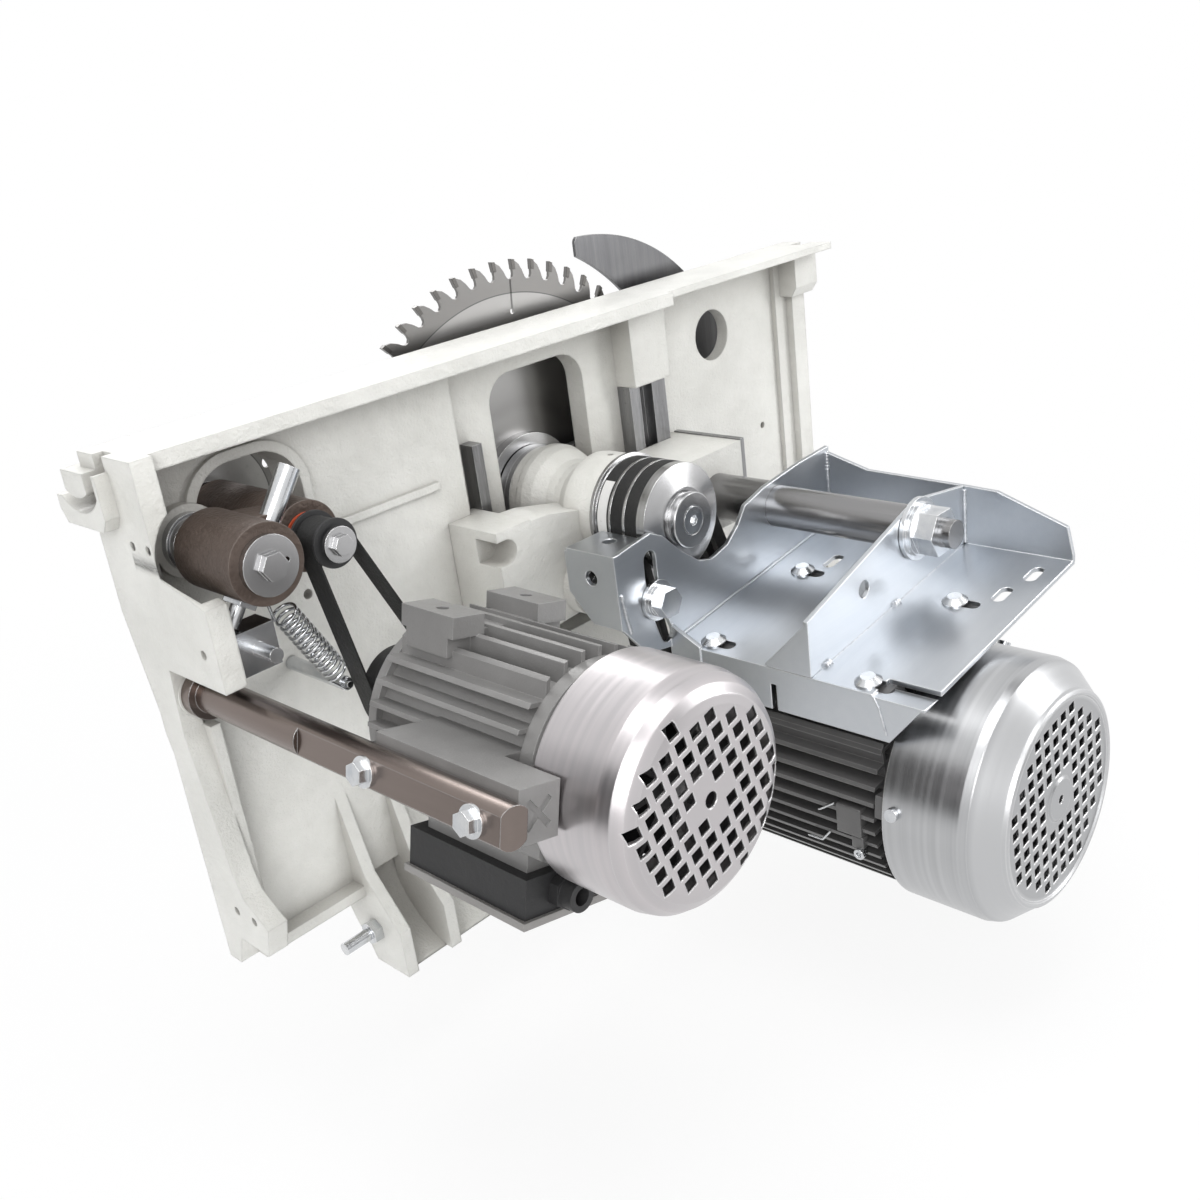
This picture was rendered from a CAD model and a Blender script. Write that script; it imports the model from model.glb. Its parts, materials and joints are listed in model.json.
import json
import math
import random

import bmesh
import bpy
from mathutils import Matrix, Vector

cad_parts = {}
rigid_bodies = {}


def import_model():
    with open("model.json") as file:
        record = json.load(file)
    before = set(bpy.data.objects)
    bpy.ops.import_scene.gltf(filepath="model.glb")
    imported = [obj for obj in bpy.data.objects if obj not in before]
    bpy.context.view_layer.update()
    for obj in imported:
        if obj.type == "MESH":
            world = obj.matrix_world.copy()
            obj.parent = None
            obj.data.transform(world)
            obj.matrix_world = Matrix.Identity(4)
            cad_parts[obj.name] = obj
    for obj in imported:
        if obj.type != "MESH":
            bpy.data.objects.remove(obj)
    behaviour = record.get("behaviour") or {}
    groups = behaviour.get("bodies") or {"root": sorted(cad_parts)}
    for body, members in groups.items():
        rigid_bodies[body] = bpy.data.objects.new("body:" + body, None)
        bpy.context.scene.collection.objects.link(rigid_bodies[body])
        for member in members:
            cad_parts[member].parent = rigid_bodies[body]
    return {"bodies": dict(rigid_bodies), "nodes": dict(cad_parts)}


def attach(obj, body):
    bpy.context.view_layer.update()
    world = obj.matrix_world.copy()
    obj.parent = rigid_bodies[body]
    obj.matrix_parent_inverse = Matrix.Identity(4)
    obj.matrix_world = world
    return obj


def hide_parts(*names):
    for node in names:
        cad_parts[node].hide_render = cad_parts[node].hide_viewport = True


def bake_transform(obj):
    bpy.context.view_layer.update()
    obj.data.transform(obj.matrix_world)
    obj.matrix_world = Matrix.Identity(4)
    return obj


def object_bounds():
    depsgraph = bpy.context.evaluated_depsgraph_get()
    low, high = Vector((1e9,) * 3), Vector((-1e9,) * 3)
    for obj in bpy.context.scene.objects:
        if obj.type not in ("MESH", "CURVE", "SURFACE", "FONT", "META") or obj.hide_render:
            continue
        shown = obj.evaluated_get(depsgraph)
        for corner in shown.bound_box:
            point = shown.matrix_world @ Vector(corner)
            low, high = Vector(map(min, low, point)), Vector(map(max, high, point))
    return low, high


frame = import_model()
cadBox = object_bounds()
nodes = frame["nodes"]
kept = set(nodes.values()) | set(frame["bodies"].values())
for stray in [o for o in bpy.data.objects if o not in kept]:
    bpy.data.objects.remove(stray)
print("frame loaded:", len(nodes), "solids")


def sp(x, y, z):
    # millimetres from the main spindle to metres from the tilt axis
    return Vector((x, y + 25, z - 120)) / 1000


# Camera
camera = {
    "at": (-0.570658, -0.641604, 0.145039),
    "turn": (67.71539, 7.053998, -46.22027),  # degrees about X, Y, Z
    "lens": 38.81419,
    "sensor": 36,
    "clip": (0.05, 60),
}
bpy.ops.object.camera_add(
    location=camera["at"], rotation=[math.radians(a) for a in camera["turn"]])
eye = bpy.context.object
eye.name = "eye"
eye.data.sensor_width = camera["sensor"]
eye.data.lens = camera["lens"]
eye.data.clip_start, eye.data.clip_end = camera["clip"]
bpy.context.scene.camera = eye
bpy.context.scene.view_settings.view_transform = "Standard"

# Light and floor
studio = {
    "floorZ": cadBox[0].z - 0.066,  # clear of the motor when the carriage is all the way down
    "floorSize": 24,
    "floorColor": (0.90, 0.90, 0.90, 1),
    # metres from the middle, and the share of the floor's own white that the camera sees there
    "floorFade": {"From Min": 0.35, "From Max": 1.1, "To Min": 0.86, "To Max": 1.0},
    "roomColor": (0.97, 0.98, 1.0, 1),  # what lights the metal; the camera sees plain white
    "roomLight": 0.46,
    # name: place, point it faces, width, height, watts
    "lamps": {
        "topBox": ((-0.25, -0.35, 1.55), (0.0, -0.05, -0.1), 1.5, 1.1, 17),
        "keyBox": ((-1.5, -1.3, 0.75), (-0.05, -0.1, -0.1), 1.0, 1.2, 19),
        "rightBox": ((1.25, -1.35, 0.45), (0.1, -0.2, -0.15), 0.5, 1.3, 11),
        "backStrip": ((0.6, 1.4, 0.9), (0, 0, 0), 1.2, 0.35, 8),
    },
    # dark cards that give the metal something to show: place, point they face, width, height
    "cardColor": (0.02, 0.02, 0.022, 1),
    "cardRough": 0.9,
    "cards": {
        "cardLeft": ((-1.3, 0.15, 0.1), (0, -0.1, -0.1), 0.9, 1.0),
        "cardFront": ((0.45, -1.9, 0.1), (0.05, -0.2, -0.1), 0.28, 1.2),
        "cardTop": ((0.45, -0.25, 1.25), (0.05, -0.15, -0.1), 0.35, 0.9),
    },
}


def aim(obj, target):
    obj.rotation_euler = (Vector(target) - obj.location).to_track_quat("-Z", "Y").to_euler()


def cameraWhite(tree, share=None):
    # 1 where the camera, a mirror or a clear thing looks at the surface, times share
    path = tree.nodes.new("ShaderNodeLightPath")
    cameraOrGloss = tree.nodes.new("ShaderNodeMath")
    cameraOrGloss.operation = "MAXIMUM"
    anyOfThem = tree.nodes.new("ShaderNodeMath")
    anyOfThem.operation = "MAXIMUM"
    scaled = tree.nodes.new("ShaderNodeMath")
    scaled.operation = "MULTIPLY"
    if share:
        tree.links.new(share, scaled.inputs[1])
    else:
        scaled.inputs[1].default_value = 1.0
    tree.links.new(path.outputs["Is Camera Ray"], cameraOrGloss.inputs[0])
    tree.links.new(path.outputs["Is Glossy Ray"], cameraOrGloss.inputs[1])
    tree.links.new(cameraOrGloss.outputs[0], anyOfThem.inputs[0])
    tree.links.new(path.outputs["Is Transmission Ray"], anyOfThem.inputs[1])
    tree.links.new(anyOfThem.outputs[0], scaled.inputs[0])
    return scaled.outputs[0]


def splitByRay(tree, share, light, white, output):
    # Joins what lights the scene and the plain white that the camera sees
    pick = tree.nodes.new("ShaderNodeMixShader")
    result = tree.nodes.new(output)
    tree.links.new(cameraWhite(tree, share), pick.inputs[0])
    tree.links.new(light.outputs[0], pick.inputs[1])
    tree.links.new(white.outputs[0], pick.inputs[2])
    tree.links.new(pick.outputs[0], result.inputs[0])


world = bpy.data.worlds.new("whiteRoom")
bpy.context.scene.world = world
world.use_nodes = True
tree = world.node_tree
tree.nodes.clear()
roomLight = tree.nodes.new("ShaderNodeBackground")
roomLight.inputs["Color"].default_value = studio["roomColor"]
roomLight.inputs["Strength"].default_value = studio["roomLight"]
roomWhite = tree.nodes.new("ShaderNodeBackground")
roomWhite.inputs["Color"].default_value = (1, 1, 1, 1)
roomWhite.inputs["Strength"].default_value = 1.0
splitByRay(tree, None, roomLight, roomWhite, "ShaderNodeOutputWorld")

bpy.ops.mesh.primitive_plane_add(size=studio["floorSize"], location=(0, 0, studio["floorZ"]))
floor = bpy.context.object
floor.name = "floor"
paper = bpy.data.materials.new("paperFloor")
paper.use_nodes = True
tree = paper.node_tree
tree.nodes.clear()
matt = tree.nodes.new("ShaderNodeBsdfDiffuse")
matt.inputs["Color"].default_value = studio["floorColor"]
glow = tree.nodes.new("ShaderNodeEmission")
glow.inputs["Strength"].default_value = 1.0
# The floor's own white takes over with the distance from the object, so no horizon shows
where = tree.nodes.new("ShaderNodeTexCoord")
far = tree.nodes.new("ShaderNodeVectorMath")
far.operation = "LENGTH"
fade = tree.nodes.new("ShaderNodeMapRange")
fade.interpolation_type = "SMOOTHSTEP"
for setting, value in studio["floorFade"].items():
    fade.inputs[setting].default_value = value
tree.links.new(where.outputs["Object"], far.inputs[0])
tree.links.new(far.outputs["Value"], fade.inputs["Value"])
splitByRay(tree, fade.outputs[0], matt, glow, "ShaderNodeOutputMaterial")
floor.data.materials.append(paper)

for name, (place, target, wide, tall, watts) in studio["lamps"].items():
    bpy.ops.object.light_add(type="AREA", location=place)
    lamp = bpy.context.object
    lamp.name = name
    lamp.data.shape = "RECTANGLE"
    lamp.data.size = wide
    lamp.data.size_y = tall
    lamp.data.energy = watts
    aim(lamp, target)

cardInk = bpy.data.materials.new("cardInk")
cardInk.use_nodes = True
inkShader = cardInk.node_tree.nodes["Principled BSDF"]
inkShader.inputs["Base Color"].default_value = studio["cardColor"]
inkShader.inputs["Roughness"].default_value = studio["cardRough"]
for name, (place, target, wide, tall) in studio["cards"].items():
    bpy.ops.mesh.primitive_plane_add(size=1, location=place)
    card = bpy.context.object
    card.name = name
    card.scale = (wide, tall, 1)
    aim(card, target)
    card.visible_camera = False
    card.visible_shadow = False
    card.visible_diffuse = False
    card.data.materials.append(cardInk)
print("camera, light and floor ready")

# Shared shader effects


def add(tree, kind, at, **settings):
    node = tree.nodes.new(kind)
    node.location = at
    for key, value in settings.items():
        setattr(node, key, value)
    return node


def newGroup(name, inputs, outputs):
    group = bpy.data.node_groups.new(name, "ShaderNodeTree")
    for label, kind, value in inputs:
        socket = group.interface.new_socket(name=label, in_out="INPUT", socket_type=kind)
        if value is not None:
            socket.default_value = value
    for label, kind in outputs:
        group.interface.new_socket(name=label, in_out="OUTPUT", socket_type=kind)
    return group, add(group, "NodeGroupInput", (-900, 0)), add(group, "NodeGroupOutput", (700, 0))


def noise(tree, at, scale, detail=2.0, rough=0.5):
    node = add(tree, "ShaderNodeTexNoise", at)
    node.inputs["Scale"].default_value = scale
    node.inputs["Detail"].default_value = detail
    node.inputs["Roughness"].default_value = rough
    return node


def spread(tree, at, low, high, toLow=0.0, toHigh=1.0):
    node = add(tree, "ShaderNodeMapRange", at)
    node.inputs["From Min"].default_value = low
    node.inputs["From Max"].default_value = high
    node.inputs["To Min"].default_value = toLow
    node.inputs["To Max"].default_value = toHigh
    return node


def sums(tree, at, operation, a, b=None):
    node = add(tree, "ShaderNodeMath", at, operation=operation)
    for socket, value in zip(node.inputs, (a, b)):
        if isinstance(value, (int, float)):
            socket.default_value = value
        elif value is not None:
            tree.links.new(value, socket)
    return node.outputs[0]


# Skin of sprayed or cast metal: fine peel over slow waves, and cloudy tone. A noise is given
# as scale, detail and roughness, a tone as the noise values at which it starts and is full
skinLook = {
    "peel": (700, 3, 0.6), "waves": (90, 2, 0.5), "waveShare": 1.6,
    "cloud": (14, 4, 0.6), "tone": (0.35, 0.65),
}
skin, begin, end = newGroup(
    "skin", [("Vector", "NodeSocketVector", None),
             ("Peel", "NodeSocketFloat", skinLook["peel"][0]),
             ("Waves", "NodeSocketFloat", skinLook["waves"][0])],
    [("Height", "NodeSocketFloat"), ("Tone", "NodeSocketFloat")])
fine = noise(skin, (-600, 200), *skinLook["peel"])
slow = noise(skin, (-600, -50), *skinLook["waves"])
cloud = noise(skin, (-600, -300), *skinLook["cloud"])
for node, label in ((fine, "Peel"), (slow, "Waves")):
    skin.links.new(begin.outputs["Vector"], node.inputs["Vector"])
    skin.links.new(begin.outputs[label], node.inputs["Scale"])
skin.links.new(begin.outputs["Vector"], cloud.inputs["Vector"])
both = sums(skin, (-300, 100), "MULTIPLY_ADD", slow.outputs["Fac"], skinLook["waveShare"])
skin.links.new(fine.outputs["Fac"], both.node.inputs[2])
skin.links.new(both, end.inputs["Height"])
tone = spread(skin, (-300, -300), *skinLook["tone"])
skin.links.new(cloud.outputs["Fac"], tone.inputs["Value"])
skin.links.new(tone.outputs[0], end.inputs["Tone"])

# Straight tool lines: noise drawn out along one axis, which the Mapping before it has squeezed
lineLook = {
    "fine": (1400, 3, 0.7), "fineShare": 0.5, "broad": (160, 2, 0.5), "broadShare": 0.5,
    "tone": (0.36, 0.64),
}
lines, begin, end = newGroup(
    "toolLines", [("Vector", "NodeSocketVector", None),
                  ("Lines", "NodeSocketFloat", lineLook["fine"][0])],
    [("Height", "NodeSocketFloat"), ("Tone", "NodeSocketFloat")])
fine = noise(lines, (-600, 150), *lineLook["fine"])
broad = noise(lines, (-600, -150), *lineLook["broad"])
lines.links.new(begin.outputs["Vector"], fine.inputs["Vector"])
lines.links.new(begin.outputs["Vector"], broad.inputs["Vector"])
lines.links.new(begin.outputs["Lines"], fine.inputs["Scale"])
lines.links.new(fine.outputs["Fac"], end.inputs["Height"])
finePart = sums(lines, (-250, -100), "MULTIPLY", fine.outputs["Fac"], lineLook["fineShare"])
total = sums(lines, (-60, -100), "MULTIPLY_ADD", broad.outputs["Fac"], lineLook["broadShare"])
lines.links.new(finePart, total.node.inputs[2])
tone = spread(lines, (150, -100), *lineLook["tone"])
lines.links.new(total, tone.inputs["Value"])
lines.links.new(tone.outputs[0], end.inputs["Tone"])

# Rings that a lathe leaves round the Y axis of the vector. The slow tone hardly follows the
# radius, so a round side's facets don't show in it
ringLook = {
    "fine": (2400, 2, 0.6), "slow": (260, 2, 0.5), "slowRadiusShare": 0.15, "tone": (0.34, 0.66),
}
rings, begin, end = newGroup(
    "latheRings", [("Vector", "NodeSocketVector", None),
                   ("Rings", "NodeSocketFloat", ringLook["fine"][0])],
    [("Height", "NodeSocketFloat"), ("Tone", "NodeSocketFloat"), ("Radius", "NodeSocketFloat")])
parts = add(rings, "ShaderNodeSeparateXYZ", (-700, 0))
rings.links.new(begin.outputs["Vector"], parts.inputs[0])
flat = add(rings, "ShaderNodeCombineXYZ", (-520, 150))
rings.links.new(parts.outputs["X"], flat.inputs["X"])
rings.links.new(parts.outputs["Z"], flat.inputs["Z"])
length = add(rings, "ShaderNodeVectorMath", (-340, 150), operation="LENGTH")
rings.links.new(flat.outputs[0], length.inputs[0])
section = add(rings, "ShaderNodeCombineXYZ", (-160, 0))
rings.links.new(length.outputs["Value"], section.inputs["X"])
rings.links.new(parts.outputs["Y"], section.inputs["Y"])
fine = noise(rings, (40, 100), *ringLook["fine"])
rings.links.new(section.outputs[0], fine.inputs["Vector"])
rings.links.new(begin.outputs["Rings"], fine.inputs["Scale"])
slowRadius = sums(rings, (-160, -200), "MULTIPLY", length.outputs["Value"],
                  ringLook["slowRadiusShare"])
slowSection = add(rings, "ShaderNodeCombineXYZ", (-60, -200))
rings.links.new(slowRadius, slowSection.inputs["X"])
rings.links.new(parts.outputs["Y"], slowSection.inputs["Y"])
slow = noise(rings, (40, -150), *ringLook["slow"])
rings.links.new(slowSection.outputs[0], slow.inputs["Vector"])
rings.links.new(fine.outputs["Fac"], end.inputs["Height"])
tone = spread(rings, (300, -150), *ringLook["tone"])
rings.links.new(slow.outputs["Fac"], tone.inputs["Value"])
rings.links.new(tone.outputs[0], end.inputs["Tone"])
rings.links.new(length.outputs["Value"], end.inputs["Radius"])

# Edges rounded in the shading, and a mask of where the rounded normal leaves the true one
edgeLook = {"radius": 0.0006, "samples": 4, "mask": (0.995, 0.80)}
edges, begin, end = newGroup(
    "softEdges", [("Radius", "NodeSocketFloat", edgeLook["radius"])],
    [("Normal", "NodeSocketVector"), ("Edge", "NodeSocketFloat")])
rounded = add(edges, "ShaderNodeBevel", (-500, 100), samples=edgeLook["samples"])
edges.links.new(begin.outputs["Radius"], rounded.inputs["Radius"])
shape = add(edges, "ShaderNodeNewGeometry", (-500, -150))
dot = add(edges, "ShaderNodeVectorMath", (-250, 0), operation="DOT_PRODUCT")
edges.links.new(rounded.outputs[0], dot.inputs[0])
edges.links.new(shape.outputs["Normal"], dot.inputs[1])
edge = spread(edges, (0, 0), *edgeLook["mask"])
edges.links.new(dot.outputs["Value"], edge.inputs["Value"])
edges.links.new(edge.outputs[0], end.inputs["Edge"])
edges.links.new(rounded.outputs[0], end.inputs["Normal"])

# Thin grime and oil: wide patches, and small specks among them
grimeLook = {
    "amount": 0.3, "patches": (26, 6, 0.65), "patchTone": (0.52, 0.74),
    "specks": (330, 3, 0.6), "speckTone": (0.64, 0.72),
}
grime, begin, end = newGroup(
    "grime", [("Vector", "NodeSocketVector", None),
              ("Amount", "NodeSocketFloat", grimeLook["amount"])],
    [("Mask", "NodeSocketFloat")])
patch = noise(grime, (-600, 100), *grimeLook["patches"])
speck = noise(grime, (-600, -150), *grimeLook["specks"])
for node in (patch, speck):
    grime.links.new(begin.outputs["Vector"], node.inputs["Vector"])
patchMask = spread(grime, (-350, 100), *grimeLook["patchTone"])
grime.links.new(patch.outputs["Fac"], patchMask.inputs["Value"])
speckMask = spread(grime, (-350, -150), *grimeLook["speckTone"])
grime.links.new(speck.outputs["Fac"], speckMask.inputs["Value"])
dirt = sums(grime, (-120, 0), "MAXIMUM", patchMask.outputs[0], speckMask.outputs[0])
dirt = sums(grime, (60, 0), "MULTIPLY", dirt)
grime.links.new(begin.outputs["Amount"], dirt.node.inputs[1])
grime.links.new(dirt, end.inputs["Mask"])
print("shader groups ready")

# Finishes: colours are dark and light ends of a tone, lengths are metres
finishShares = {
    "hollowFrom": (0.85, 0.25),  # openness at which a corner's shade starts and is full
    "zone": 0.0008,  # half width of the step between two zones
    "bladeLine": 0.0004,  # half width of the line at the blade's band
    "sheetCloud": (0.25, 0.75), "sheetCloudNoise": (2, 0.45), "sheetGrain": 0.28,
}


def startFinish(name, s):
    # A material with its shader, and the object's own coordinates: moved, and squeezed as well
    material = bpy.data.materials.new(name)
    material.use_nodes = True
    tree = material.node_tree
    tree.nodes.clear()
    out = add(tree, "ShaderNodeOutputMaterial", (900, 0))
    shader = add(tree, "ShaderNodeBsdfPrincipled", (600, 0))
    tree.links.new(shader.outputs[0], out.inputs[0])
    for label, value in s.get("shader", {}).items():
        shader.inputs[label].default_value = value
    place = add(tree, "ShaderNodeTexCoord", (-1300, 0))
    mapping = add(tree, "ShaderNodeMapping", (-1100, 0))
    mapping.inputs["Location"].default_value = [-v for v in s.get("centre", (0, 0, 0))]
    tree.links.new(place.outputs["Object"], mapping.inputs["Vector"])
    vector = mapping.outputs[0]
    if "squeeze" in s:
        squeeze = add(tree, "ShaderNodeMapping", (-930, 0))
        squeeze.inputs["Scale"].default_value = s["squeeze"]
        tree.links.new(vector, squeeze.inputs["Vector"])
        vector = squeeze.outputs[0]
    return material, tree, shader, mapping.outputs[0], vector


def useGroup(tree, at, group, **values):
    node = add(tree, "ShaderNodeGroup", at)
    node.node_tree = group
    for label, value in values.items():
        if isinstance(value, (int, float)):
            node.inputs[label].default_value = value
        else:
            tree.links.new(value, node.inputs[label])
    return node


def blendColor(tree, at, share, a, b):
    node = add(tree, "ShaderNodeMix", at, data_type="RGBA", blend_type="MIX")
    for index, value in ((0, share), (6, a), (7, b)):  # factor and the two colour sockets
        if isinstance(value, (int, float)):
            node.inputs[index].default_value = value
        elif isinstance(value, tuple):
            node.inputs[index].default_value = (*value, 1)
        else:
            tree.links.new(value, node.inputs[index])
    return node.outputs[2]


def closeFinish(tree, shader, s, color, tone, height, edge):
    # Colour, roughness and relief that all finishes end with
    tree.links.new(color, shader.inputs["Base Color"])
    gloss = spread(tree, (300, -150), 0, 1, *s["rough"])
    tree.links.new(tone, gloss.inputs["Value"])
    tree.links.new(gloss.outputs[0], shader.inputs["Roughness"])
    bump = add(tree, "ShaderNodeBump", (350, -350))
    bump.inputs["Strength"].default_value = s["bump"][0]
    bump.inputs["Distance"].default_value = s["bump"][1]
    tree.links.new(height, bump.inputs["Height"])
    tree.links.new(edge.outputs["Normal"], bump.inputs["Normal"])
    tree.links.new(bump.outputs[0], shader.inputs["Normal"])


def paintFinish(name, s):
    material, tree, shader, raw, vector = startFinish(name, s)
    coat = useGroup(tree, (-700, 100), skin, Vector=vector, Peel=s["peel"], Waves=s["waves"])
    edge = useGroup(tree, (-700, -200), edges, Radius=s["edge"])
    soil = useGroup(tree, (-700, -350), grime, Vector=raw, Amount=s["grime"])
    color = blendColor(tree, (-400, 200), coat.outputs["Tone"], s["dark"], s["light"])
    worn = sums(tree, (-400, -50), "MULTIPLY", edge.outputs["Edge"], s["worn"])
    color = blendColor(tree, (-200, 150), worn, color, s["wornColor"])
    color = blendColor(tree, (0, 100), soil.outputs["Mask"], color, s["soil"])
    if "hollow" in s:
        # dust and shade that gather in corners: reach, share, colour
        reach, share, shade = s["hollow"]
        corner = add(tree, "ShaderNodeAmbientOcclusion", (-400, 450), samples=8)
        corner.inputs["Distance"].default_value = reach
        deep = spread(tree, (-200, 450), *finishShares["hollowFrom"], 0, share)
        tree.links.new(corner.outputs["AO"], deep.inputs["Value"])
        color = blendColor(tree, (150, 200), deep.outputs[0], color, shade)
    closeFinish(tree, shader, s, color, coat.outputs["Tone"], coat.outputs["Height"], edge)
    return material


def groundFinish(name, s):
    material, tree, shader, raw, vector = startFinish(name, s)
    marks = useGroup(tree, (-700, 100), lines, Vector=vector, Lines=s["lines"])
    edge = useGroup(tree, (-700, -200), edges, Radius=s["edge"])
    soil = useGroup(tree, (-700, -350), grime, Vector=raw, Amount=s["grime"])
    color = blendColor(tree, (-400, 200), marks.outputs["Tone"], s["dark"], s["light"])
    color = blendColor(tree, (-200, 150), edge.outputs["Edge"], color, s["edgeColor"])
    color = blendColor(tree, (0, 100), soil.outputs["Mask"], color, s["soil"])
    closeFinish(tree, shader, s, color, marks.outputs["Tone"], marks.outputs["Height"], edge)
    return material


def turnedFinish(name, s):
    material, tree, shader, raw, vector = startFinish(name, s)
    marks = useGroup(tree, (-700, 100), rings, Vector=vector, Rings=s["rings"])
    edge = useGroup(tree, (-700, -200), edges, Radius=s["edge"])
    soil = useGroup(tree, (-700, -350), grime, Vector=raw, Amount=s["grime"])
    color = blendColor(tree, (-400, 200), marks.outputs["Tone"], s["dark"], s["light"])
    half = finishShares["zone"]
    for radius, inside in s.get("zones", ()):
        zone = spread(tree, (-400, 350), radius + half, radius - half)
        tree.links.new(marks.outputs["Radius"], zone.inputs["Value"])
        color = blendColor(tree, (-300, 300), zone.outputs[0], color, inside)
    color = blendColor(tree, (-200, 150), edge.outputs["Edge"], color, s["edgeColor"])
    color = blendColor(tree, (0, 100), soil.outputs["Mask"], color, s["soil"])
    closeFinish(tree, shader, s, color, marks.outputs["Tone"], marks.outputs["Height"], edge)
    return material


def bladeFinish(name, s):
    # Ground disc: rings about the arbor, a darker band under the teeth, dark carbide tips
    material, tree, shader, raw, vector = startFinish(name, s)
    marks = useGroup(tree, (-900, 100), rings, Vector=vector, Rings=s["rings"])
    edge = useGroup(tree, (-900, -200), edges, Radius=s["edge"])
    soil = useGroup(tree, (-900, -350), grime, Vector=raw, Amount=s["grime"])
    radius = marks.outputs["Radius"]
    color = blendColor(tree, (-600, 200), marks.outputs["Tone"], s["dark"], s["light"])
    band = sums(tree, (-600, -50), "GREATER_THAN", radius, s["bandFrom"])
    color = blendColor(tree, (-420, 150), band, color, s["bandColor"])
    line = sums(tree, (-600, -150), "SUBTRACT", radius, s["bandFrom"])
    line = sums(tree, (-440, -150), "ABSOLUTE", line)
    line = sums(tree, (-280, -150), "LESS_THAN", line, finishShares["bladeLine"])
    color = blendColor(tree, (-240, 150), line, color, s["lineColor"])
    parts = add(tree, "ShaderNodeSeparateXYZ", (-700, -520))
    tree.links.new(raw, parts.inputs[0])
    out = sums(tree, (-520, -520), "ABSOLUTE", parts.outputs["Y"])
    proud = sums(tree, (-360, -520), "GREATER_THAN", out, s["tipFrom"])
    rim = sums(tree, (-360, -640), "GREATER_THAN", radius, s["tipRadius"])
    tip = sums(tree, (-200, -520), "MULTIPLY", proud, rim)
    color = blendColor(tree, (-60, 150), tip, color, s["tipColor"])
    color = blendColor(tree, (100, 100), soil.outputs["Mask"], color, s["soil"])
    closeFinish(tree, shader, s, color, marks.outputs["Tone"], marks.outputs["Height"], edge)
    return material


def sheetFinish(name, s):
    # Zinc plate: cloudy patches under faint rolling lines
    material, tree, shader, raw, vector = startFinish(name, s)
    marks = useGroup(tree, (-900, 100), lines, Vector=vector, Lines=s["lines"])
    edge = useGroup(tree, (-900, -200), edges, Radius=s["edge"])
    soil = useGroup(tree, (-900, -350), grime, Vector=raw, Amount=s["grime"])
    cloud = noise(tree, (-900, 350), s["cloud"], *finishShares["sheetCloudNoise"])
    tree.links.new(raw, cloud.inputs["Vector"])
    share = spread(tree, (-700, 350), *finishShares["sheetCloud"])
    tree.links.new(cloud.outputs["Fac"], share.inputs["Value"])
    color = blendColor(tree, (-500, 300), share.outputs[0], s["dark"], s["light"])
    grain = sums(tree, (-500, 80), "MULTIPLY", marks.outputs["Tone"], finishShares["sheetGrain"])
    color = blendColor(tree, (-350, 200), grain, color, s["grain"])
    color = blendColor(tree, (-180, 150), edge.outputs["Edge"], color, s["edgeColor"])
    color = blendColor(tree, (0, 100), soil.outputs["Mask"], color, s["soil"])
    closeFinish(tree, shader, s, color, share.outputs[0], marks.outputs["Height"], edge)
    return material


# No roughness range runs across 0.274, where a denoised render draws thin lines on metal
steelShader = {"Metallic": 1.0}
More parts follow.
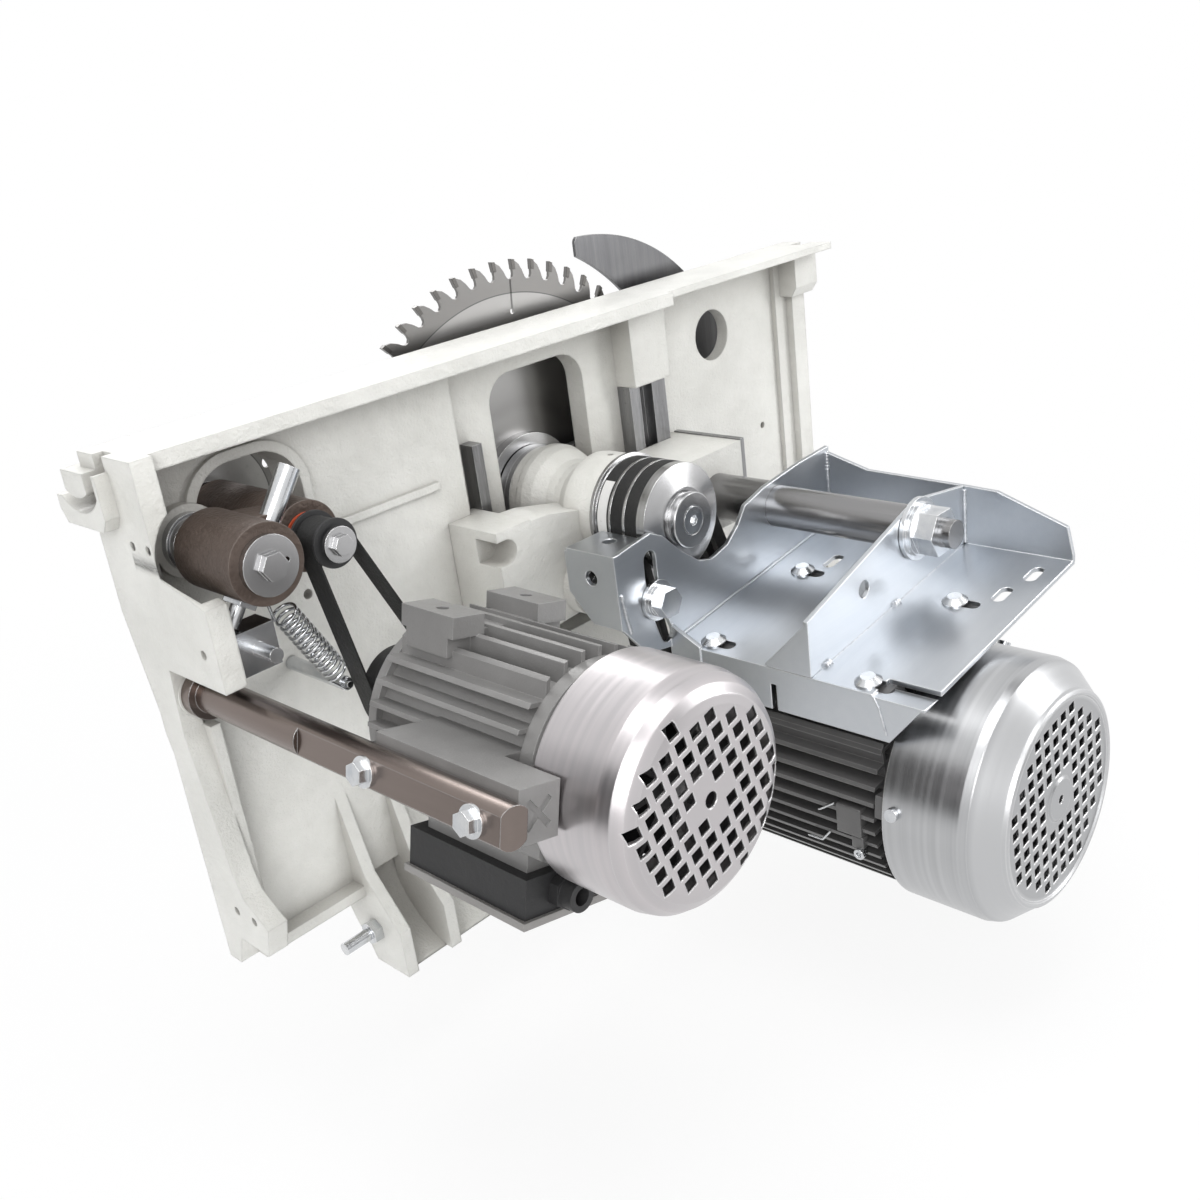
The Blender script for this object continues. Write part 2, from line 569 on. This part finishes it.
# Drawn bars: lines along the bar, hardly any relief
darkBar = dict(
    squeeze=(1, 0.02, 1), lines=900, edge=0.0006, grime=0.06, dark=(0.262, 0.260, 0.262),
    light=(0.285, 0.283, 0.285), edgeColor=(0.45, 0.45, 0.45), soil=(0.09, 0.085, 0.08),
    rough=(0.25, 0.27), bump=(0.01, 0.0001), shader=steelShader)
finishes = {
    # kind, settings
    "castPaint": (paintFinish, dict(
        peel=620, waves=110, edge=0.0016, grime=0.12, worn=0.16, dark=(0.70, 0.695, 0.655),
        light=(0.82, 0.815, 0.775), wornColor=(0.52, 0.51, 0.48), soil=(0.46, 0.44, 0.40),
        rough=(0.36, 0.50), bump=(0.75, 0.0008), hollow=(0.045, 0.80, (0.36, 0.345, 0.32)),
        shader={"Metallic": 0.0, "Coat Weight": 0.15})),
    "blackPaint": (paintFinish, dict(
        peel=900, waves=160, edge=0.0006, grime=0.10, worn=0.60, dark=(0.070, 0.069, 0.069),
        light=(0.094, 0.092, 0.091), wornColor=(0.30, 0.295, 0.29), soil=(0.10, 0.095, 0.09),
        rough=(0.28, 0.38), bump=(0.30, 0.0004), shader={"Metallic": 0.0, "Coat Weight": 0.35})),
    "greyPaint": (paintFinish, dict(
        peel=900, waves=160, edge=0.0006, grime=0.12, worn=0.3, dark=(0.25, 0.245, 0.24),
        light=(0.31, 0.305, 0.30), wornColor=(0.55, 0.55, 0.54), soil=(0.14, 0.13, 0.12),
        rough=(0.34, 0.46), bump=(0.35, 0.0004), shader={"Metallic": 0.25})),
    "armIron": (paintFinish, dict(
        peel=480, waves=120, edge=0.0009, grime=0.25, worn=0.35, dark=(0.085, 0.062, 0.050),
        light=(0.125, 0.095, 0.080), wornColor=(0.33, 0.30, 0.28), soil=(0.04, 0.035, 0.03),
        rough=(0.38, 0.55), bump=(0.6, 0.0008), shader={"Metallic": 0.55})),
    "blackPlastic": (paintFinish, dict(
        peel=1500, waves=300, edge=0.0005, grime=0.10, worn=0.12, dark=(0.018, 0.018, 0.019),
        light=(0.026, 0.026, 0.027), wornColor=(0.09, 0.09, 0.09), soil=(0.10, 0.10, 0.095),
        rough=(0.42, 0.58), bump=(0.4, 0.0003), shader={"Metallic": 0.0})),
    "sealRed": (paintFinish, dict(
        peel=1200, waves=300, edge=0.0004, grime=0.15, worn=0.1, dark=(0.50, 0.075, 0.03),
        light=(0.60, 0.10, 0.04), wornColor=(0.7, 0.25, 0.15), soil=(0.2, 0.05, 0.03),
        rough=(0.35, 0.5), bump=(0.25, 0.0003), shader={"Metallic": 0.0})),
    "lidGrey": (paintFinish, dict(
        peel=900, waves=200, edge=0.0008, grime=0.15, worn=0.2, dark=(0.24, 0.23, 0.22),
        light=(0.30, 0.29, 0.28), wornColor=(0.5, 0.5, 0.48), soil=(0.12, 0.11, 0.10),
        rough=(0.36, 0.5), bump=(0.35, 0.0004), shader={"Metallic": 0.0})),
    "beltRubber": (paintFinish, dict(
        peel=1600, waves=400, edge=0.0004, grime=0.2, worn=0.25, dark=(0.007, 0.007, 0.007),
        light=(0.013, 0.013, 0.013), wornColor=(0.06, 0.06, 0.06), soil=(0.06, 0.058, 0.055),
        rough=(0.5, 0.7), bump=(0.6, 0.0004), shader={"Metallic": 0.0})),
    "labelPaper": (paintFinish, dict(
        peel=1100, waves=240, edge=0.0002, grime=0.25, worn=0.3, dark=(0.66, 0.655, 0.64),
        light=(0.78, 0.775, 0.76), wornColor=(0.45, 0.45, 0.44), soil=(0.3, 0.3, 0.29),
        rough=(0.4, 0.55), bump=(0.2, 0.0002), shader={"Metallic": 0.0})),
    "guideSteel": (groundFinish, dict(
        squeeze=(1, 1, 0.03), lines=2200, edge=0.0006, grime=0.35, dark=(0.20, 0.20, 0.205),
        light=(0.36, 0.36, 0.365), edgeColor=(0.62, 0.62, 0.62), soil=(0.10, 0.095, 0.09),
        rough=(0.28, 0.42), bump=(0.25, 0.0003), shader=steelShader)),
    "groundPlate": (groundFinish, dict(
        squeeze=(0.04, 1, 1), lines=2000, edge=0.0006, grime=0.25, dark=(0.30, 0.30, 0.305),
        light=(0.45, 0.45, 0.455), edgeColor=(0.66, 0.66, 0.66), soil=(0.14, 0.13, 0.12),
        rough=(0.28, 0.40), bump=(0.2, 0.0003), shader=steelShader)),
    "knifeSteel": (groundFinish, dict(
        squeeze=(1, 1, 0.02), lines=1800, edge=0.0005, grime=0.15, dark=(0.12, 0.12, 0.125),
        light=(0.165, 0.165, 0.17), edgeColor=(0.5, 0.5, 0.5), soil=(0.07, 0.07, 0.07),
        rough=(0.28, 0.34), bump=(0.08, 0.0002), shader=steelShader)),
    "bladeSteel": (bladeFinish, dict(
        centre=sp(0, 0, 0), rings=900, edge=0.0003, grime=0.10, dark=(0.30, 0.295, 0.29),
        light=(0.345, 0.34, 0.335), bandFrom=0.1355, bandColor=(0.20, 0.195, 0.19),
        tipFrom=0.00112, tipRadius=0.148, tipColor=(0.12, 0.115, 0.11),
        lineColor=(0.12, 0.12, 0.12), soil=(0.20, 0.20, 0.19), rough=(0.30, 0.35),
        bump=(0.05, 0.0002), shader=steelShader)),
    "scoreBladeSteel": (bladeFinish, dict(
        centre=sp(-237, 0, 62), rings=900, edge=0.0003, grime=0.15, dark=(0.32, 0.315, 0.31),
        light=(0.44, 0.435, 0.43), bandFrom=0.0410, bandColor=(0.24, 0.235, 0.23), tipFrom=0.00112,
        tipRadius=0.045, tipColor=(0.12, 0.115, 0.11), lineColor=(0.15, 0.15, 0.15),
        soil=(0.15, 0.15, 0.14), rough=(0.30, 0.42), bump=(0.15, 0.0002), shader=steelShader)),
    "zincSheet": (sheetFinish, dict(
        squeeze=(0.05, 1, 1), lines=900, cloud=11, edge=0.0011, grime=0.0, dark=(0.47, 0.495, 0.53),
        light=(0.56, 0.58, 0.605), grain=(0.60, 0.615, 0.63), edgeColor=(0.92, 0.93, 0.94),
        soil=(0.36, 0.36, 0.37), rough=(0.28, 0.34), bump=(0.01, 0.0001), shader=steelShader)),
    "zincBolt": (sheetFinish, dict(
        lines=1500, cloud=90, edge=0.0005, grime=0.15, dark=(0.48, 0.50, 0.53),
        light=(0.70, 0.71, 0.72), grain=(0.78, 0.78, 0.78), edgeColor=(0.90, 0.90, 0.90),
        soil=(0.28, 0.27, 0.26), rough=(0.16, 0.27), bump=(0.12, 0.0002), shader=steelShader)),
    "swingBarSteel": (groundFinish, darkBar),
    "scoreBarSteel": (groundFinish, dict(
        darkBar, dark=(0.205, 0.17, 0.155), light=(0.225, 0.187, 0.17))),
    "postSteel": (groundFinish, dict(
        darkBar, dark=(0.24, 0.24, 0.24), light=(0.29, 0.29, 0.29))),
    "coreSteel": (groundFinish, dict(
        squeeze=(1, 12, 1), lines=900, edge=0.0004, grime=0.3, dark=(0.18, 0.18, 0.18),
        light=(0.32, 0.32, 0.32), edgeColor=(0.5, 0.5, 0.5), soil=(0.1, 0.09, 0.08),
        rough=(0.35, 0.5), bump=(0.3, 0.0003), shader=steelShader)),
    "weldBead": (sheetFinish, dict(
        lines=1500, cloud=300, edge=0.0003, grime=0.25, dark=(0.40, 0.42, 0.45),
        light=(0.72, 0.73, 0.75), grain=(0.80, 0.80, 0.80), edgeColor=(0.92, 0.92, 0.92),
        soil=(0.22, 0.21, 0.20), rough=(0.28, 0.36), bump=(0.3, 0.0004), shader=steelShader)),
}
turnedSteel = dict(
    rings=1500, edge=0.0005, grime=0.08, dark=(0.43, 0.43, 0.435), light=(0.50, 0.50, 0.505),
    edgeColor=(0.82, 0.82, 0.82), soil=(0.22, 0.21, 0.20), rough=(0.21, 0.27), bump=(0.05, 0.0002),
    shader=steelShader)
satinSteel = dict(
    turnedSteel, dark=(0.34, 0.34, 0.34), light=(0.40, 0.40, 0.40), rough=(0.38, 0.46))
spunAlu = dict(
    turnedSteel, rings=900, dark=(0.45, 0.455, 0.465), light=(0.52, 0.525, 0.535), edge=0.0012,
    edgeColor=(0.85, 0.85, 0.85), soil=(0.30, 0.30, 0.30), rough=(0.28, 0.34), grime=0.04)
# The main cover's side, cone and grille plate differ in tone: radius, and the colour inside it
coverZones = ((0.0765, (0.53, 0.535, 0.545)), (0.0595, (0.42, 0.425, 0.435)))
# name: settings, axis in the spindle's frame
turnedFinishes = {
    "turnedSpindle": (turnedSteel, (0, 0, 0)),
    "turnedScoring": (turnedSteel, (-237, 0, 62)),
    "turnedPivot": (turnedSteel, (-277, 0, 65)),
    "turnedMotor": (turnedSteel, (43, 0, -152)),
    "ringSteel": (satinSteel, (0, 0, 0)),
    "spunCover": (dict(spunAlu, zones=coverZones), (43, 0, -152)),
    "spunScoreCover": (
        dict(spunAlu, dark=(0.52, 0.50, 0.51), light=(0.58, 0.55, 0.56)), (-206, 0, -36)),
}
made = {name: make(name, s) for name, (make, s) in finishes.items()}
for name, (s, axis) in turnedFinishes.items():
    made[name] = turnedFinish(name, dict(s, centre=sp(*axis)))

nodeFinish = {
    "castPaint": ["saw_frame", "carriage"],
    "guideSteel": ["guide_rails", "gib_plate"],
    "groundPlate": ["knife_holder"],
    "knifeSteel": ["riving_knife"],
    "bladeSteel": ["saw_blade"],
    "scoreBladeSteel": ["scoring_blade"],
    "ringSteel": ["bearing_ring"],
    "turnedSpindle": ["spindle_bearings", "saw_spindle", "inner_flange",
                      "outer_flange", "drive_pulley", "pulley_cap"],
    "turnedScoring": ["scoring_bearings", "scoring_spindle", "scoring_flanges",
                      "scoring_pulley_cap"],
    "turnedPivot": ["pivot_shaft", "pivot_rings", "arm_cap"],
    "turnedMotor": ["motor_pulley"],
    "swingBarSteel": ["swing_bar"],
    "scoreBarSteel": ["scoring_bar"],
    "postSteel": ["tension_post"],
    "spunCover": ["fan_cover"],
    "spunScoreCover": ["scoring_fan_cover"],
    "zincSheet": ["motor_bracket", "bracket_gusset"],
    "zincBolt": ["frame_studs", "stop_block", "adjuster_screw", "scoring_nut", "bar_bolts",
                 "bar_nut_set", "clamp_bolt", "knife_clamp", "blade_nut", "pulley_screw",
                 "foot_bolts", "cover_screws", "tension_spring"],
    "blackPaint": ["motor_housing", "end_shields"],
    "greyPaint": ["scoring_motor_housing", "scoring_end_shields"],
    "armIron": ["scoring_arm"],
    "sealRed": ["bearing_seal"],
    "blackPlastic": ["scoring_pulley", "scoring_motor_pulley", "fan", "scoring_fan",
                     "terminal_box", "cable_gland"],
    "lidGrey": ["terminal_lid"],
    "coreSteel": ["rotor", "scoring_rotor"],
    "beltRubber": ["drive_belts", "scoring_belt"],
}
for name, members in nodeFinish.items():
    for member in members:
        solid = nodes[member]
        solid.data.materials.clear()
        solid.data.materials.append(made[name])
print("finishes laid on", sum(len(m) for m in nodeFinish.values()), "solids")


# Helpers for new pieces
meshing = {"doubles": 0.00001, "smooth": 35}  # metres between doubles, degrees of a smooth edge


def deselect():
    bpy.ops.object.select_all(action="DESELECT")


def pickAlone(obj):
    deselect()
    obj.select_set(True)
    bpy.context.view_layer.objects.active = obj


def settle(obj, name, finish, body=None):
    # Makes it a mesh, applies its place, and gives it its name, finish, body and slot
    pickAlone(obj)
    if obj.type != "MESH":
        bpy.ops.object.convert(target="MESH")
        obj = bpy.context.object
    bpy.ops.object.transform_apply(location=True, rotation=True, scale=True)
    obj.name = name
    obj.data.name = name
    obj.data.materials.clear()
    obj.data.materials.append(made[finish])
    if body:
        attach(obj, body)
    return obj


def closedMesh(obj, angle=meshing["smooth"]):
    # Joins doubles, turns the faces outwards and smooths all but the sharp edges
    pickAlone(obj)
    bpy.ops.object.mode_set(mode="EDIT")
    bpy.ops.mesh.select_all(action="SELECT")
    bpy.ops.mesh.remove_doubles(threshold=meshing["doubles"])
    bpy.ops.mesh.normals_make_consistent(inside=False)
    bpy.ops.object.mode_set(mode="OBJECT")
    bpy.ops.object.shade_smooth_by_angle(angle=math.radians(angle))
    return obj


def selectFaces(obj, wanted):
    # In edit mode, with only the faces selected that the test wants
    pickAlone(obj)
    bpy.ops.object.mode_set(mode="EDIT")
    bpy.ops.mesh.select_all(action="DESELECT")
    mesh = bmesh.from_edit_mesh(obj.data)
    for face in mesh.faces:
        face.select = wanted(face)
    bmesh.update_edit_mesh(obj.data)


def softBevel(obj, width, segments):
    # Rounds the sharp edges, width in metres
    soft = obj.modifiers.new("soft", "BEVEL")
    soft.width = width
    soft.segments = segments
    soft.limit_method = "ANGLE"
    bpy.ops.object.modifier_apply(modifier="soft")


def splineCurve(name, points, closed=False):
    # A curve of straight runs through points in metres
    bpy.ops.curve.primitive_bezier_curve_add(location=(0, 0, 0))
    curve = bpy.context.object
    curve.name = name
    curve.data.splines.clear()
    spline = curve.data.splines.new("POLY")
    spline.points.add(len(points) - 1)
    for knot, p in zip(spline.points, points):
        knot.co = (*p, 1)
    spline.use_cyclic_u = closed
    return curve


def sweep(name, line, section, y, closed=True):
    # Sweeps a section (across, depth) along a line (x, z) in mm that lies at y
    path = splineCurve(name, [(x / 1000, z / 1000, 0) for x, z in line], closed)
    path.data.dimensions = "2D"
    path.data.fill_mode = "NONE"
    path.location = sp(0, y, 0)
    path.rotation_euler = (math.pi / 2, 0, 0)
    shape = splineCurve(
        name + "Section", [(deep / 1000, across / 1000, 0) for across, deep in section], True)
    shape.data.dimensions = "2D"
    path.data.bevel_mode = "OBJECT"
    path.data.bevel_object = shape
    path.data.use_fill_caps = not closed
    pickAlone(path)
    bpy.ops.object.convert(target="MESH")
    swept = bpy.context.object
    bpy.data.objects.remove(shape)
    return closedMesh(swept)


# Belts
drive = {
    "small": (0, 0), "smallR": 35.0, "large": (43, -152), "largeR": 50.0,
    "firstY": -110, "pitch": 12, "count": 3, "steps": 72, "straight": 24,
    # section: place across the belt, depth under its outer face
    "section": [(-4.55, 0.0), (-4.85, 0.35), (-4.80, 0.9), (-2.75, 7.6), (-2.3, 8.0), (2.3, 8.0),
                (2.75, 7.6), (4.80, 0.9), (4.85, 0.35), (4.55, 0.0), (2.4, -0.12), (-2.4, -0.12)],
}
scoreDrive = {
    "small": (-237, 62), "smallR": 12.0, "large": (-206, -36), "largeR": 24.5, "y": -116,
    "steps": 72, "straight": 24, "section": [(-8, 0.02), (-8, 1.1), (8, 1.1), (8, 0.02)],
}


def loopLine(d):
    # Points (x, z) in mm round both pulleys
    small, large = Vector(d["small"]), Vector(d["large"])
    gap = large - small
    a = math.atan2(gap.y, gap.x)
    b = math.acos((d["smallR"] - d["largeR"]) / gap.length)

    def arc(centre, r, start, turn):
        angles = [start + turn * i / d["steps"] for i in range(d["steps"] + 1)]
        return [centre + Vector((math.cos(t), math.sin(t))) * r for t in angles]

    first = arc(small, d["smallR"], a + b, 2 * math.pi - 2 * b)
    second = arc(large, d["largeR"], a - b, 2 * b)
    found = []
    for run, goal in ((first, second[0]), (second, first[0])):
        found += run + [run[-1].lerp(goal, k / d["straight"]) for k in range(1, d["straight"])]
    return found


beltLine = loopLine(drive)
for i in range(drive["count"]):
    beltName = "vBelt" + str(i + 1)
    belt = sweep(beltName, beltLine, drive["section"], drive["firstY"] - i * drive["pitch"])
    settle(belt, beltName, "beltRubber")
    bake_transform(belt)
    if i == 0:
        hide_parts("drive_belts")


def halfBelt(name, upper):
    # One half of the flat belt, cut midway between its pulleys, where it stays with the frame
    half = sweep(name, loopLine(scoreDrive), scoreDrive["section"], scoreDrive["y"])
    settle(half, name, "beltRubber")
    high, low = (sp(x, 0, z) for x, z in (scoreDrive["small"], scoreDrive["large"]))
    bpy.ops.object.mode_set(mode="EDIT")
    bpy.ops.mesh.select_all(action="SELECT")
    bpy.ops.mesh.bisect(plane_co=(high + low) / 2, plane_no=(high - low).normalized(),
                        use_fill=True, clear_inner=upper, clear_outer=not upper)
    bpy.ops.object.mode_set(mode="OBJECT")
    closedMesh(half)
    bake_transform(half)
    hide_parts("scoring_belt")


halfBelt("flatBeltTop", True)
halfBelt("flatBeltLow", False)
print("belts ready")

# Tension spring
spring = {
    "top": (-265, 38), "low": (-232, -26), "y": -99.5, "coilR": 6.5, "wireR": 0.9, "turns": 13,
    "body": 50, "pinR": 2.0, "pinGap": 0.15, "steps": 28,
    "hook": (110, 250, 24),  # first angle, turn, steps
    "ease": 6,
}


def springLine(s):
    # Hook, coil and hook along local Z, in mm
    reach = (Vector(s["low"]) - Vector(s["top"])).length
    hookR = s["pinR"] + s["wireR"] + s["pinGap"]
    lead = (reach - s["body"]) / 2
    firstAngle, turn, hookSteps = s["hook"]
    hook = []
    for i in range(hookSteps + 1):
        t = math.radians(firstAngle + turn * i / hookSteps)
        hook.append(Vector((hookR * math.cos(t), 0, hookR * math.sin(t))))
    coilStart = Vector((s["coilR"], 0, lead))
    ease = [hook[-1].lerp(coilStart, k / s["ease"]) for k in range(1, s["ease"])]
    count = s["turns"] * s["steps"]
    coil = []
    for i in range(count + 1):
        t = 2 * math.pi * i / s["steps"]
        coil.append(Vector((s["coilR"] * math.cos(t), s["coilR"] * math.sin(t),
                            lead + s["body"] * i / count)))
    nearEnd = hook + ease
    farEnd = [Vector((p.x, p.y, reach - p.z)) for p in reversed(nearEnd)]
    return nearEnd + coil + farEnd


along = (Vector(spring["low"]) - Vector(spring["top"])).normalized()
points = []
for p in springLine(spring):
    # local X and Z lie in the front view, Y across it
    x = spring["top"][0] + along.x * p.z + along.y * p.x
    z = spring["top"][1] + along.y * p.z - along.x * p.x
    points.append(sp(x, spring["y"] + p.y, z))
wireSpring = splineCurve("tensionSpring", points)
wireSpring.data.bevel_depth = spring["wireR"] / 1000
wireSpring.data.bevel_resolution = 3
wireSpring.data.use_fill_caps = True
wireSpring = settle(wireSpring, "tensionSpring", "zincBolt")
closedMesh(wireSpring)
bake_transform(wireSpring)
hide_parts("tension_spring")
print("spring ready")

# Pale label band round the first belt, left bare
label = {
    "radius": 35.16, "from": 130, "to": 188, "steps": 40, "y": -110, "half": 3.9, "thick": 0.2,
}
band = []
for i in range(label["steps"] + 1):
    t = math.radians(label["from"] + (label["to"] - label["from"]) * i / label["steps"])
    band.append((label["radius"] * math.cos(t), label["radius"] * math.sin(t)))
half, thick = label["half"], label["thick"]
beltLabel = sweep("beltLabel", band, [(-half, 0), (half, 0), (half, -thick), (-half, -thick)],
                  label["y"], False)
settle(beltLabel, "beltLabel", "labelPaper", "carriage")
print("label ready")

# Weld seams are rods whose girth rises and falls, sunk half into the sheet. The inner radius of
# each fold and the two short wires between the fins are plain rods
rods = {
    # mm between points, and in shares of the radius: chance wobble and the ends' radius
    "step": 0.8, "seed": 7, "wobble": 0.08, "turn": 2.1, "endShare": 0.55, "smooth": 60,
    "kinds": {  # finish, slot, share of the radius that ripples
        "weld": ("weldBead", "galvanised_sheet", 0.16),
        "fold": ("zincSheet", "galvanised_sheet", 0.0),
        "wire": ("zincBolt", "bright_steel", 0.0),
    },
    # name: kind, radius, points in the spindle's frame
    "runs": {
        "weldNose": ("weld", 1.3, [
            (-67.6, -152.2, -26), (-65.4, -152.2, -41), (-62.4, -152.2, -54)]),
        "weldWing": ("weld", 1.5, [(149.0, -152.4, 0.5), (149.0, -152.6, -33)]),
        "weldGusset": ("weld", 1.4, [(148.6, -258.6, -13), (148.6, -258.6, -50)]),
        "weldFoot": ("weld", 0.8, [(-15.5, -257.9, -72.4), (146.5, -257.9, -51.2)]),
        "weldSpotA": ("weld", 2.4, [(-13.5, -258.3, -71.6), (-7.5, -258.3, -70.8)]),
        "weldSpotB": ("weld", 2.4, [(61, -258.3, -61.7), (67, -258.3, -60.9)]),
        "flangeLip": ("weld", 0.7, [
            (-25.6, -296.0, -73.9), (-26.9, -300.4, -75.2), (-27.1, -303.2, -80.5),
            (-27.1, -305.2, -88), (-27.1, -307.6, -97)]),
        "foldWing": ("fold", 1.3, [(-24, -152.2, -72.9), (146, -152.2, -50.8)]),
        "foldEnd": ("fold", 1.3, [(148.8, -155, -50.4), (148.8, -253, -50.4)]),
        "finWireA": ("wire", 0.7, [
            (-34.2, -262, -156.0), (-34.2, -264, -155.2), (-33.6, -273.5, -148.4)]),
        "finWireB": ("wire", 0.7, [
            (-33.0, -252.5, -177.8), (-33.0, -263, -177.6), (-32.8, -269, -170)]),
    },
}


def rodRun(name, kind, radius, knots):
    # Even steps along the knots; each point's radius makes the ripples
    finish, slot, ripple = rods["kinds"][kind]
    chance = random.Random(rods["seed"])
    points = []
    for a, b in zip(knots, knots[1:]):
        count = max(2, round((sp(*b) - sp(*a)).length * 1000 / rods["step"]))
        points += [sp(*a).lerp(sp(*b), i / count) for i in range(count)]
    points.append(sp(*knots[-1]))
    rod = splineCurve(name, points)
    rod.data.bevel_depth = radius / 1000
    rod.data.bevel_resolution = 2
    rod.data.use_fill_caps = True
    beads = rod.data.splines[0].points
    for i, bead in enumerate(beads):
        wave = math.sin(i * rods["turn"]) * ripple
        bead.radius = 1 + wave + (chance.uniform(-1, 1) * rods["wobble"] if ripple else 0)
    for bead in (beads[0], beads[-1]):
        bead.radius = rods["endShare"]
    closedMesh(settle(rod, name, finish, "motor_bracket"), rods["smooth"])


for name, run in rods["runs"].items():
    rodRun(name, *run)
print("weld seams ready")

# Small cable clamp with its screw on the main motor's side
clamp = {
    "block": ((-30.5, -283.0, -157.5), (7.0, 17.0, 19.0)),  # centre, size
    "step": ((-31.0, -288.5, -170.5), (6.0, 8.0, 8.0)),
    "screw": ((-33.0, -290.0, -177.5), 3.4, 5.0),  # centre, radius, height
    "bevel": 0.9, "draft": 6, "crown": 8,  # the block's thickness is divided by draft and crown
    "socket": 1.7, "socketDepth": 2.2, "rim": 12, "sides": 36,  # likewise for the screw's head
    "outerFace": -0.9,  # a normal's X below this is the outer side
}


def isOuter(face):
    return face.normal.x < clamp["outerFace"]


def bevelBlock(name, centre, size, bevel, finish, body, slot):
    # Block drawn in towards its outer side, as a casting is, with rounded edges
    thick = size[0] / 1000
    deselect()
    bpy.ops.mesh.primitive_cube_add(size=1, location=sp(*centre), scale=[v / 1000 for v in size])
    block = bpy.context.object
    bpy.ops.object.transform_apply(location=True, rotation=True, scale=True)
    selectFaces(block, isOuter)
    bpy.ops.mesh.inset(thickness=thick / clamp["draft"])
    bpy.ops.mesh.extrude_region_move(
        TRANSFORM_OT_translate={"value": (-thick / clamp["crown"], 0, 0)})
    bpy.ops.object.mode_set(mode="OBJECT")
    softBevel(block, bevel / 1000, 3)
    closedMesh(block)
    return settle(block, name, finish, body)


def socketScrew(name, centre, radius, height, socket, finish, body, slot):
    # Round head along X with a round socket
    deselect()
    bpy.ops.mesh.primitive_cylinder_add(
        vertices=clamp["sides"], radius=radius / 1000, depth=height / 1000,
        location=sp(*centre), rotation=(0, -math.pi / 2, 0))
    head = bpy.context.object
    bpy.ops.object.transform_apply(location=True, rotation=True, scale=True)
    selectFaces(head, isOuter)
    bpy.ops.mesh.inset(thickness=(radius - socket) / 1000)
    bpy.ops.mesh.extrude_region_move(
        TRANSFORM_OT_translate={"value": (height / 1000 / clamp["socketDepth"], 0, 0)})
    bpy.ops.object.mode_set(mode="OBJECT")
    softBevel(head, radius / 1000 / clamp["rim"], 2)
    closedMesh(head)
    return settle(head, name, finish, body)


for name, part in (("clampBlock", "block"), ("clampStep", "step")):
    bevelBlock(name, *clamp[part], clamp["bevel"], "blackPaint", "motor_bracket", "motor_paint")
socketScrew("clampScrew", *clamp["screw"], clamp["socket"], "zincBolt", "motor_bracket",
            "bright_steel")
print("cable clamp ready")
